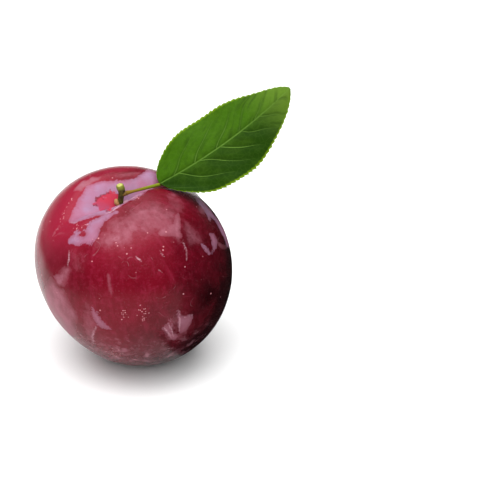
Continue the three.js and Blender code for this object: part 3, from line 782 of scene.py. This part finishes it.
def blade_middle(along, across, tooth):
    """The middle of the blade's thickness. Along runs from 0 to 1, and across from -1 to 1."""
    half_width = blade_half_width(along) + tooth * np.sin(math.pi * along) ** TOOTH_FADE
    breadth = half_width / BLADE_HALF_WIDTH
    wave = -BLADE_WAVE["height"] * np.sin(2 * math.pi * BLADE_WAVE["waves"] * along + across) * across**2
    curl = np.where(across < 0, BASE_CURL["height"] * np.abs(across) ** 3, 0)
    bow = 4 * along * (1 - along)
    rise = (
        BLADE_ARCH * bow
        - BLADE_ROOF * breadth * np.abs(across) ** ROOF_ROUNDING
        + wave * breadth
        + curl * bump(along, BASE_CURL["middle"], BASE_CURL["reach"])
    )
    return np.stack([BLADE_LENGTH * along, across * half_width - BLADE_SIDE_BOW * bow, rise], axis=-1)


def tooth_reach(along):
    """How far the margin stands out: each tooth climbs slowly and ends in a point that aims at the tip."""
    reach = 0
    for teeth, depth in ((TEETH, 1.0), (2 * TEETH, SMALL_TEETH)):
        share = (along * teeth) % 1
        climbing = np.clip(share / TOOTH_LEAN, 0, 1) ** TOOTH_CLIMB
        falling = smooth_step(1 - share, 0, 1 - TOOTH_LEAN)
        reach = reach + depth * np.where(share < TOOTH_LEAN, climbing, falling)
    first, second = (beat * along * TEETH for beat in TOOTH_UNEVENNESS["beats"])
    uneven = 1 + TOOTH_UNEVENNESS["share"] * np.sin(first) * np.sin(second + 1)
    return TOOTH_DEPTH / (1 + SMALL_TEETH) * reach * uneven


def vein_order(along, across):
    """Counts the side veins from the base, so that each lies where this is a whole number."""
    out = np.abs(across) * blade_half_width(along)
    start = along - (out / math.tan(SIDE_VEIN_ANGLE) + SIDE_VEIN_CURVE * out**2) / BLADE_LENGTH
    offset = np.where(across < 0, SIDE_VEIN_OFFSET["lower"], SIDE_VEIN_OFFSET["upper"])
    places = np.stack([along * BLADE_LENGTH, across * BLADE_HALF_WIDTH], axis=-1).reshape(-1, 2)
    wander = ripple(places, SIDE_VEIN_WANDER["size"], SIDE_VEIN_WANDER["seed"]).reshape(start.shape)
    return SIDE_VEINS * start + offset + SIDE_VEIN_WANDER["share"] * wander


def relief_heights(along, across, out, order, middle):
    """The height of the upper face over the blade's middle, and the depth of the lower face under it."""
    from_vein = np.abs(order - np.round(order)) * SIDE_VEIN_GAP
    towards_margin = 1 - smooth_step(np.abs(across), *RELIEF_MARGIN)
    puff = smooth_step(from_vein, 0, PUFF_RISE["from vein"]) * smooth_step(out, 0, PUFF_RISE["from rib"])
    relief = {
        "vein": bump(from_vein, 0, VEIN_WIDTH) * towards_margin,
        "rib": bump(out, 0, RIB["width"]) * (1 - RIB["fades"] * along),
        "puff": puff * towards_margin,
        "grain": ripple(middle.reshape(-1, 3), GRAIN["size"], GRAIN["seed"]).reshape(along.shape),
    }
    thinning = MARGIN_THINNING["share"] * np.abs(across) ** MARGIN_THINNING["power"]
    half = BLADE_THICKNESS / 2 * (1 - thinning)
    return [half + sum(RELIEF[kind][face] * height for kind, height in relief.items()) for face in (0, 1)]


def make_leaf(material):
    rows, columns = TEETH * BLADE_ROWS_PER_TOOTH + 1, BLADE_COLUMNS + 1
    even = np.linspace(-1, 1, columns)
    crowded = even - COLUMN_CROWDING * np.sin(2 * math.pi * even) / (2 * math.pi)
    along, across = np.meshgrid(np.linspace(0, 1, rows), crowded, indexing="ij")
    middle = blade_middle(along, across, tooth_reach(along) * np.abs(across) ** TOOTH_ROOT)
    out = np.abs(across) * blade_half_width(along)
    order = vein_order(along, across)
    height, depth = relief_heights(along, across, out, order, middle)
    points = np.tile(middle.reshape(-1, 3), (2, 1))
    points[:, 2] += np.concatenate([height.ravel(), -depth.ravel()])

    upper, lower = np.arange(len(points)).reshape(2, rows, columns)
    margins = [(lower[:, 0], upper[:, 0]), (upper[:, -1], lower[:, -1])]
    ends = [(upper[0], lower[0]), (lower[-1], upper[-1])]
    grids = [upper, lower[:, ::-1]] + [np.stack(lines, axis=1) for lines in margins + ends]
    faces = np.concatenate([grid_faces(grid) for grid in grids]).tolist()

    stalk_points, stalk_faces, stalk_along = leaf_stalk()
    faces += [tuple(corner + len(points) for corner in face) for face in stalk_faces]
    rest = np.zeros(len(stalk_points))
    attributes = {"along": np.concatenate([along.ravel(), along.ravel(), stalk_along])}
    for name, values in (("across", across), ("out", out), ("vein_order", order)):
        attributes[name] = np.concatenate([values.ravel(), values.ravel(), rest])
    attributes["underside"] = np.concatenate([np.zeros(along.size), np.ones(along.size), rest])
    attributes["leaf_stalk"] = np.concatenate([np.zeros(len(points)), rest + 1])
    points = np.concatenate([points, stalk_points]) @ leaf_turn.T + BLADE_BASE
    leaf = make_piece("plum_leaf", points, faces, attributes, material)
    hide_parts("leaf")
    return leaf


def leaf_stalk():
    """The leaf's own stalk, which runs in under the base of the blade, in the leaf's frame."""
    path = [(stalk_foot + offset - BLADE_BASE) @ leaf_turn for offset in (LEAF_STALK_START, LEAF_STALK_SAG)]
    for along in LEAF_STALK_UNDER:
        path.append(blade_middle(np.array(along), np.array(0.0), 0.0) - (0, 0, LEAF_STALK_DROP))
    along = np.linspace(0, 1, LEAF_STALK_STEPS)[:, None]
    start, blade = LEAF_STALK_RADIUS["start"], LEAF_STALK_RADIUS["blade"]
    radius = start + (blade - start) * smooth_step(along, *LEAF_STALK_THICKENS)
    radius = radius * (1 - LEAF_STALK_THINS["share"] * smooth_step(along, *LEAF_STALK_THINS["along"]))
    radius = radius + LEAF_STALK_FOOT["swell"] * bump(along, 0, LEAF_STALK_FOOT["reach"])
    radii = np.repeat(radius, LEAF_STALK_SIDES, axis=1)
    points, faces = rod(smooth_path(path, LEAF_STALK_STEPS), radii, LEAF_STALK_SIDES)
    return points, faces, np.concatenate([np.repeat(along, LEAF_STALK_SIDES), [0.0, 1.0]])


# ---- Materials ----

def screen(*levels):
    """A colour given as on screen, 0 to 255, turned to the linear values that materials use."""
    shares = [level / 255 for level in levels]
    return tuple(share / 12.92 if share <= 0.04045 else ((share + 0.055) / 1.055) ** 2.4 for share in shares)


class Output:
    """A node's output. A sum written with it is made of Math nodes."""

    def __init__(self, paint, socket):
        self.paint = paint
        self.socket = socket

    def __add__(self, other):
        return self.paint.math("ADD", self, other)

    def __sub__(self, other):
        return self.paint.math("SUBTRACT", self, other)

    def __rsub__(self, other):
        return self.paint.math("SUBTRACT", other, self)

    def __mul__(self, other):
        return self.paint.math("MULTIPLY", self, other)

    def __truediv__(self, other):
        return self.paint.math("DIVIDE", self, other)

    def __abs__(self):
        return self.paint.math("ABSOLUTE", self)

    def step(self, low, high, first=0.0, last=1.0):
        """Climbs smoothly from the first amount to the last while this goes from low to high."""
        inputs = {"Value": self, "From Min": low, "From Max": high, "To Min": first, "To Max": last}
        return self.paint.output("MapRange", "Result", inputs, interpolation_type="SMOOTHSTEP")


class Paint:
    """One material's nodes, with its colour built up in layers. An output can stand in for any value."""

    def __init__(self, name, colour=None):
        self.material = bpy.data.materials.new(name)
        self.material.use_nodes = True
        self.tree = self.material.node_tree
        self.shader = self.tree.nodes["Principled BSDF"]
        self.colour = colour

    def node(self, kind, inputs=None, **settings):
        node = self.tree.nodes.new("ShaderNode" + kind)
        for name, value in settings.items():
            setattr(node, name, value)
        for name, value in (inputs or {}).items():
            self.give(node.inputs[name], value)
        return node

    def output(self, kind, name, inputs=None, **settings):
        return Output(self, self.node(kind, inputs, **settings).outputs[name])

    def give(self, socket, value):
        if isinstance(value, Output):
            self.tree.links.new(value.socket, socket)
        elif isinstance(value, tuple):
            socket.default_value = (*value, 1)
        else:
            socket.default_value = value

    def surface(self, inputs):
        for name, value in inputs.items():
            self.give(self.shader.inputs[name], value)

    def read(self, attribute, output="Fac"):
        return self.output("Attribute", output, attribute_name=attribute)

    def place(self):
        """The place on the piece, in millimetres."""
        where = self.output("TexCoord", "Object")
        return self.output("VectorMath", 0, {0: where, "Scale": 1 / MM}, operation="SCALE")

    def noise(self, where, size, detail, roughness, distortion=0.0):
        inputs = {"Vector": where, "Scale": 1 / size, "Detail": detail, "Roughness": roughness}
        return self.output("TexNoise", "Fac", {**inputs, "Distortion": distortion})

    def noises(self, where, shapes):
        return {name: self.noise(where, *shape) for name, shape in shapes.items()}

    def math(self, operation, first, second=0.0, clamp=False):
        return self.output("Math", 0, {0: first, 1: second}, operation=operation, use_clamp=clamp)

    def largest(self, first, *others):
        for other in others:
            first = self.math("MAXIMUM", first, other)
        return first

    def mix(self, share, first, second):
        """The first colour, with this share of it given over to the second."""
        return self.output("Mix", 2, {0: share, 6: first, 7: second}, data_type="RGBA")

    def layer(self, share, colour):
        self.colour = self.mix(share, self.colour, colour)

    def dots(self, where, spacing, radius, share):
        """Round dots scattered about this far apart. The share is of the places that have one."""
        cells = self.node("TexVoronoi", {"Vector": where, "Scale": 1 / spacing, "Randomness": 1.0})
        chance = self.output("SeparateColor", 0, {0: Output(self, cells.outputs["Color"])})
        size = chance.step(0.0, 1.0, radius / spacing, SMALLEST_DOT * radius / spacing)
        dot = (Output(self, cells.outputs["Distance"]) / size).step(*DOT_EDGE, 1.0, 0.0)
        return dot * self.math("LESS_THAN", chance, share)

    def bumps(self, height, depth):
        inputs = {"Height": height, "Strength": 1.0, "Distance": depth * MM}
        return self.output("Bump", "Normal", inputs)


# ---- The fruit's skin ----

# The maroon also serves as painted shade, the blush colour is partly painted light, and the film colour
# partly painted sheen
SKIN = {
    "crimson": screen(99, 4, 22),
    "maroon": screen(32, 0, 3),
    "blush_and_light": screen(156, 34, 58),
    "streak": screen(134, 32, 56),
    "rubbed": screen(170, 36, 58),
    "dusted": screen(136, 58, 88),
    "film_and_sheen": screen(150, 90, 104),
    "bloom": screen(152, 98, 124),
    "bluer bloom": screen(148, 114, 142),
    "line": screen(184, 140, 152),
    "dot": screen(222, 152, 160),
}
# Each noise's size in millimetres, its detail and roughness, and for one its distortion too
SKIN_NOISES = {
    "broad": (14, 3, 0.55),
    "contours": (8, 1, 0.5, 0.4),
    "tint": (7, 2, 0.5),
    "raggedness": (4.5, 2, 0.5),
    "uneven": (4.2, 3, 0.55),
    "hairiness": (4, 2, 0.5),
    "crust": (3.2, 5, 0.68),
    "waves": (2.4, 2, 0.5),
    "fine": (1.6, 3, 0.6),
    "wear": (1.4, 3, 0.65),
    "grain": (0.7, 2, 0.5),
    "dust": (0.55, 3, 0.65),
}
STREAK_NOISE = (1.0, 3, 0.6)
EDGE_SHIFT = {"ragged": 0.55, "wavy": 0.35, "worn": 0.7}  # how far the noises push the marks' edges about
# How deep inside their outlines the bloom and the rubbed spot begin, and how deep they are in full
BLOOM_EDGE = (-0.12, 0.3)
BLOOM_THICKENS = (0.0, 1.6)
WORN_EDGE = (-0.3, 0.6)
WORN_RIM = {"place": 0.2, "fade": (0.15, 0.7)}  # the darker skin round the rubbed spot
PORES = {"spacing": 2.6, "radius": 0.26, "share": 0.5}
CROWDED_DOTS = {"spacing": 0.48, "radius": 0.2}
SMALLEST_DOT = 0.45  # as a share of the largest one's radius
DOT_EDGE = (0.6, 1.2)  # in radii
SKIN_ROUGHNESS = (0.27, 0.5)  # bare, and under the thickest bloom
SKIN_GRAIN = 0.02


def bare_skin(paint, noise):
    """Crimson shaded to maroon, partly painted shade, and brighter on one cheek, partly painted light. Gives
    how far it is shaded.
    """
    uneven = noise["broad"].step(0.3, 0.7, -0.18, 0.18)
    shade = paint.math("ADD", paint.read("shade"), uneven, clamp=True)
    paint.layer(shade, SKIN["maroon"])
    paint.layer(paint.read("blush_and_light") * BLUSH_AND_LIGHT_STRENGTH, SKIN["blush_and_light"])
    streaks = noise["streaks"].step(0.46, 0.78, 0.0, 0.45)
    mottle = paint.largest(streaks, noise["fine"].step(0.44, 0.72, 0.0, 0.36))
    paint.layer(mottle * (1 - shade), SKIN["streak"])
    return shade


def dusty_film_and_sheen(paint, noise, shade):
    """Soft dusty films, partly painted sheen, in blotches and streaks, and thin scurf underneath. Gives how
    thick they are.
    """
    film_and_sheen = paint.read("film_and_sheen")
    blotches = noise["uneven"].step(0.32, 0.66, 0.5, 1.0)
    broken = (noise["crust"] + film_and_sheen * 0.3).step(0.42, 0.7, 0.3, 1.05)
    underside = paint.read("underside")
    bright_side = underside * (1 - shade * 0.6)
    # The pale film low down, partly a painted reflection of the white floor
    low_film_and_floor_sheen = bright_side * noise["crust"].step(0.42, 0.64, 0.02, 0.5)
    film_and_sheen = paint.largest(film_and_sheen * (blotches * broken), low_film_and_floor_sheen) * noise["dust"].step(0.3, 0.7, 0.86, 1.1)
    paint.layer(film_and_sheen, SKIN["film_and_sheen"])
    # Painted shade: darker towards maroon underneath
    paint.layer(underside * 0.4, SKIN["maroon"])
    paint.layer(bright_side * noise["crust"].step(0.55, 0.68, 0.0, 0.45), SKIN["line"])
    return film_and_sheen


def crisp_bloom(paint, noise, shade):
    """The crisp-edged bloom, ragged here and clean there. Gives how thick it is."""
    ragged = noise["dust"].step(0.25, 0.75, -EDGE_SHIFT["ragged"], EDGE_SHIFT["ragged"])
    ragged = ragged * noise["raggedness"].step(0.4, 0.62, 0.12, 1.0)
    wavy = noise["waves"].step(0.2, 0.8, -EDGE_SHIFT["wavy"], EDGE_SHIFT["wavy"])
    depth = paint.read("bloom") + (ragged + wavy)
    cover = paint.read("bloom_cover")
    thickness = depth.step(*BLOOM_THICKENS, 0.6, 1.0) * noise["uneven"].step(0.3, 0.68, 0.8, 0.97)
    bloom = depth.step(*BLOOM_EDGE) * (thickness * cover)
    tint = paint.mix(noise["tint"].step(0.35, 0.65), SKIN["bloom"], SKIN["bluer bloom"])
    tint = paint.mix(cover.step(0.5, 0.95), SKIN["film_and_sheen"], tint)
    # The bloom takes a little of the painted shade too
    paint.layer(bloom, paint.mix(shade * 0.15, tint, SKIN["maroon"]))
    return bloom


def fine_lines(paint, noise, shade, film_and_sheen):
    """The lines of bloom, and a few hairlines along a noise's contours. Gives how strong the lines are."""
    lines = (paint.read("bloom_lines") + noise["dust"].step(0.3, 0.7, -0.25, 0.15)).step(0.05, 1.0)
    paint.layer(lines, SKIN["line"])
    hair = abs(noise["contours"] - 0.5).step(0.002, 0.009, 1.0, 0.0)
    hair = hair * noise["hairiness"].step(0.52, 0.68, 0.0, 0.2)
    paint.layer(hair * ((1 - shade) * (1 - film_and_sheen)), SKIN["line"])
    return lines


def rubbed_spot(paint, noise):
    """Where the bloom is rubbed off by the stalk: bright at the top, and dusted over again lower down."""
    ragged = noise["wear"].step(0.25, 0.75, -EDGE_SHIFT["worn"], EDGE_SHIFT["worn"])
    depth = paint.read("rubbed") + ragged
    dusted = paint.read("dusted") * noise["crust"].step(0.35, 0.65, 0.4, 0.9)
    spot = paint.mix(dusted, SKIN["rubbed"], SKIN["dusted"])
    paint.layer(depth.step(*WORN_EDGE, 0.0, 0.95), spot)
    rim = abs(depth - WORN_RIM["place"]).step(*WORN_RIM["fade"], 1.0, 0.0)
    paint.layer(rim * noise["fine"].step(0.42, 0.56, 0.0, 0.75), SKIN["crimson"])


def pale_dots(paint, noise, where):
    """Few of them all over, and crowds of finer ones."""
    paint.layer(paint.dots(where, **PORES) * 0.55, SKIN["dot"])
    crowd = paint.dots(where, **CROWDED_DOTS, share=paint.read("flecks"))
    paint.layer(crowd * noise["fine"].step(0.35, 0.6, 0.3, 0.75), SKIN["dot"])


def fruit_material():
    paint = Paint("plum_skin", SKIN["crimson"])
    where = paint.place()
    noise = paint.noises(where, SKIN_NOISES)
    noise["streaks"] = paint.noise(paint.read("meridian", "Vector"), *STREAK_NOISE)
    noise["uneven"] = noise["uneven"] + noise["streaks"].step(0.3, 0.7, -0.04, 0.04)
    shade = bare_skin(paint, noise)
    film_and_sheen = dusty_film_and_sheen(paint, noise, shade)
    bloom = crisp_bloom(paint, noise, shade)
    lines = fine_lines(paint, noise, shade, film_and_sheen)
    rubbed_spot(paint, noise)
    pale_dots(paint, noise, where)
    paint.surface({
        "Base Color": paint.colour,
        "Roughness": paint.largest(bloom, film_and_sheen, lines).step(0.0, 1.0, *SKIN_ROUGHNESS),
        "Normal": paint.bumps(noise["grain"], SKIN_GRAIN),
        "IOR": 1.36,
        "Specular IOR Level": 0.22,
        "Sheen Weight": 0.01,
        "Sheen Roughness": 0.4,
    })
    return paint.material


# ---- The stalk's bark ----

BARK = {
    "olive": screen(84, 84, 22),
    "brown": screen(44, 34, 14),
    "knob": screen(112, 116, 30),
    "leaf scar": screen(112, 84, 26),
    "bud": screen(172, 128, 80),
    "cut end": screen(172, 172, 86),
}
BARK_NOISES = {"mottle": (0.9, 3, 0.6), "grain": (0.35, 3, 0.6)}
BARK_GRAIN = 0.06


def stalk_material():
    paint = Paint("plum_stalk_bark", BARK["olive"])
    noise = paint.noises(paint.place(), BARK_NOISES)
    paint.layer(noise["mottle"].step(0.35, 0.65), BARK["brown"])
    paint.layer(paint.read("height").step(0.82, 0.96), BARK["knob"])
    paint.layer(paint.read("leaf_scar"), BARK["leaf scar"])
    paint.layer(paint.read("bud"), BARK["bud"])
    paint.layer(paint.read("cut_end"), BARK["cut end"])
    normal = paint.bumps(noise["grain"], BARK_GRAIN)
    paint.surface({"Base Color": paint.colour, "Roughness": 0.62, "Normal": normal})
    return paint.material


# ---- The leaf's green ----

# The upper half's brighter and the lower half's darker green are partly painted light and shade, and partly
# the leaf's own green
LEAF = {
    "upper half": screen(50, 86, 2),
    "lower half": screen(25, 52, 0),
    "patch": screen(62, 94, 10),
    # The deep green, also used as painted shade in the creases and puckers
    "deep": screen(22, 44, 0),
    # A painted sheen, paler towards the tip
    "tip": screen(88, 117, 34),
    "vein": screen(88, 122, 46),
    "margin": screen(112, 142, 16),
    "under": screen(84, 108, 56),
    "under deep": screen(66, 90, 44),
    "under vein": screen(116, 134, 80),
    "stalk": screen(112, 122, 28),
    "stalk foot": screen(124, 100, 36),
}
LEAF_NOISES = {"mottle": (7, 3, 0.5), "net": (1.1, 3, 0.7), "grain": (0.9, 2, 0.5)}
MESH_SPACING = 1.5  # between the finest veins
SIDE_VEIN_FADE = (0.03, 0.2)
SIDE_CREASE_FADE = (0.1, 0.9)
MIDRIB_FADE = (0.08, 0.26)
PUCKER_NOISE = (1.0, 2, 0.5)
PUCKERS = {"from vein to vein": 2.4, "out from the rib": 0.22}  # more bring them closer together
LEAF_GRAIN = 0.02


def leaf_veins(paint, noise, from_vein):
    """How strongly the side veins and the midrib show."""
    along, across = paint.read("along"), paint.read("across")
    side = from_vein.step(*SIDE_VEIN_FADE, 1.0, 0.0) * abs(across).step(0.35, 0.9, 0.8, 0.0)
    side = side * across.step(-0.15, 0.15, 1.0, 0.55) * along.step(0.45, 0.9, 1.0, 0.3)
    side = side * noise["mottle"].step(0.35, 0.6, 0.6, 1.0)
    midrib = paint.read("out").step(*MIDRIB_FADE, 0.7, 0.0) * along.step(0.55, 0.95, 1.0, 0.35)
    return paint.largest(side, midrib * noise["net"].step(0.35, 0.6, 0.65, 1.0))


def leaf_crease_shade(paint, order, from_vein):
    """Painted shade in the creases along the side veins, and in the puckers between them."""
    towards_margin = abs(paint.read("across")).step(0.3, 0.9, 1.0, 0.0)
    crease = from_vein.step(*SIDE_CREASE_FADE, 0.4, 0.0) * towards_margin
    places = {0: order * PUCKERS["from vein to vein"], 1: paint.read("out") * PUCKERS["out from the rib"]}
    puckers = paint.noise(paint.output("CombineXYZ", 0, places), *PUCKER_NOISE)
    return paint.largest(crease, puckers.step(0.5, 0.72, 0.0, 0.45))


def leaf_material():
    paint = Paint("plum_leaf_green", LEAF["lower half"])
    where = paint.place()
    noise = paint.noises(where, LEAF_NOISES)
    along, across = paint.read("along"), paint.read("across")
    cells = {"Vector": where, "Scale": 1 / MESH_SPACING}
    from_edge = paint.output("TexVoronoi", "Distance", cells, feature="DISTANCE_TO_EDGE")
    mesh = from_edge.step(0.0, 0.12, 1.0, 0.0)
    order = paint.read("vein_order")
    from_vein = abs(order - paint.math("ROUND", order)) * SIDE_VEIN_GAP
    veins = leaf_veins(paint, noise, from_vein)

    # Painted light and shade, with the leaf's own green: the upper half brighter than the lower
    paint.layer(across.step(-0.2, 0.25), LEAF["upper half"])
    paint.layer(noise["mottle"].step(0.42, 0.7, 0.0, 0.25), LEAF["patch"])
    paint.layer(noise["net"].step(0.35, 0.7, 0.0, 0.18), LEAF["deep"])
    paint.layer(mesh * 0.06, LEAF["vein"])
    # A painted sheen, paler towards the tip
    paint.layer(along.step(0.66, 1.0, 0.0, 0.7), LEAF["tip"])
    # Painted shade in the creases and puckers
    paint.layer(leaf_crease_shade(paint, order, from_vein), LEAF["deep"])
    paint.layer(veins, LEAF["vein"])
    paint.layer(abs(across).step(0.93, 0.99, 0.0, 0.7), LEAF["margin"])

    under = paint.mix(noise["net"].step(0.35, 0.7, 0.0, 0.4), LEAF["under"], LEAF["under deep"])
    paint.layer(paint.read("underside"), paint.mix(veins, under, LEAF["under vein"]))
    stalk = paint.mix(along.step(0.05, 0.4), LEAF["stalk foot"], LEAF["stalk"])
    paint.layer(paint.read("leaf_stalk"), stalk)
    paint.surface({
        "Base Color": paint.colour,
        "Roughness": 0.55,
        "Specular IOR Level": 0.06,
        "Normal": paint.bumps(noise["grain"] - mesh * 0.5, LEAF_GRAIN),
    })
    return paint.material


# ---- Stage, lights and camera ----

def look_at(thing, place, target):
    thing.location = Vector(place) * MM
    thing.rotation_mode = "QUATERNION"
    thing.rotation_quaternion = (Vector(target) - Vector(place)).to_track_quat("-Z", "Y")


def add_object(name, data):
    thing = bpy.data.objects.new(name, data)
    bpy.context.scene.collection.objects.link(thing)
    return thing


def soft_light(name, place, size, strength):
    """A square softbox. Its strength is what a white card facing it from close by would send back."""
    data = bpy.data.lights.new(name, "AREA")
    data.shape = "SQUARE"
    data.size = size * MM
    data.energy = strength * math.pi * (size * MM) ** 2
    light = add_object(name, data)
    look_at(light, place, LIGHTS_AIM)
    return light


def make_floor():
    """A white floor. Its lit part round the fruit fades out into an even white, which goes on far away."""
    paint = Paint("floor_white")
    glow = paint.output("VectorMath", "Value", {0: paint.place()}, operation="LENGTH").step(*FLOOR_FADE)
    paint.surface({
        "Base Color": paint.mix(glow, FLOOR_WHITE, (0.0, 0.0, 0.0)),
        "Roughness": 0.85,
        "Specular IOR Level": 0.2,
        "Emission Color": (1.0, 1.0, 1.0),
        "Emission Strength": glow,
    })
    half = FLOOR_HALF
    corners = np.array([(-half, -half, 0.0), (half, -half, 0.0), (half, half, 0.0), (-half, half, 0.0)])
    make_piece("floor", corners, [(0, 1, 2, 3)], {}, paint.material)


def make_flags():
    """The camera doesn't see them, they throw no shadow, and they darken only what is reflected."""
    paint = Paint("flag_black")
    paint.surface({"Base Color": (0.0, 0.0, 0.0), "Roughness": 1.0, "Specular IOR Level": 0.0})
    for side, (ends, profile) in FLAGS.items():
        corners = np.array([(x, y, z) for x, z in profile for y in ends])
        faces = [(first, first + 1, first + 3, first + 2) for first in range(0, len(corners) - 2, 2)]
        flag = make_piece("flag_" + side, corners, faces, {}, paint.material)
        flag.visible_camera = False
        flag.visible_shadow = False
        flag.visible_diffuse = False


def make_world():
    """Pale behind everything, and dim in what the fruit reflects."""
    world = bpy.data.worlds.new("studio")
    world.use_nodes = True
    tree = world.node_tree
    ray = tree.nodes.new("ShaderNodeLightPath")
    level = tree.nodes.new("ShaderNodeMapRange")
    level.inputs["To Min"].default_value = WORLD_LIGHT
    level.inputs["To Max"].default_value = 1.0
    tree.links.new(ray.outputs["Is Camera Ray"], level.inputs["Value"])
    tree.nodes["Background"].inputs["Color"].default_value = (1, 1, 1, 1)
    tree.links.new(level.outputs["Result"], tree.nodes["Background"].inputs["Strength"])
    bpy.context.scene.world = world


def make_stage():
    make_floor()
    make_flags()
    make_world()
    for name, (place, size, strength, reflected) in LIGHTS.items():
        soft_light(name, place, size, strength).visible_glossy = reflected
    bpy.context.scene.view_settings.view_transform = "Standard"


def make_camera():
    data = bpy.data.cameras.new("camera")
    data.lens = CAMERA_LENS
    data.clip_start = CAMERA_NEAR * MM
    camera = add_object("camera", data)
    look_at(camera, camera_place, CAMERA_AIM)
    bpy.context.scene.camera = camera


make_camera()
make_stage()
for piece in (make_fruit(fruit_material()), make_stalk(stalk_material()), make_leaf(leaf_material())):
    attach(piece, "root")
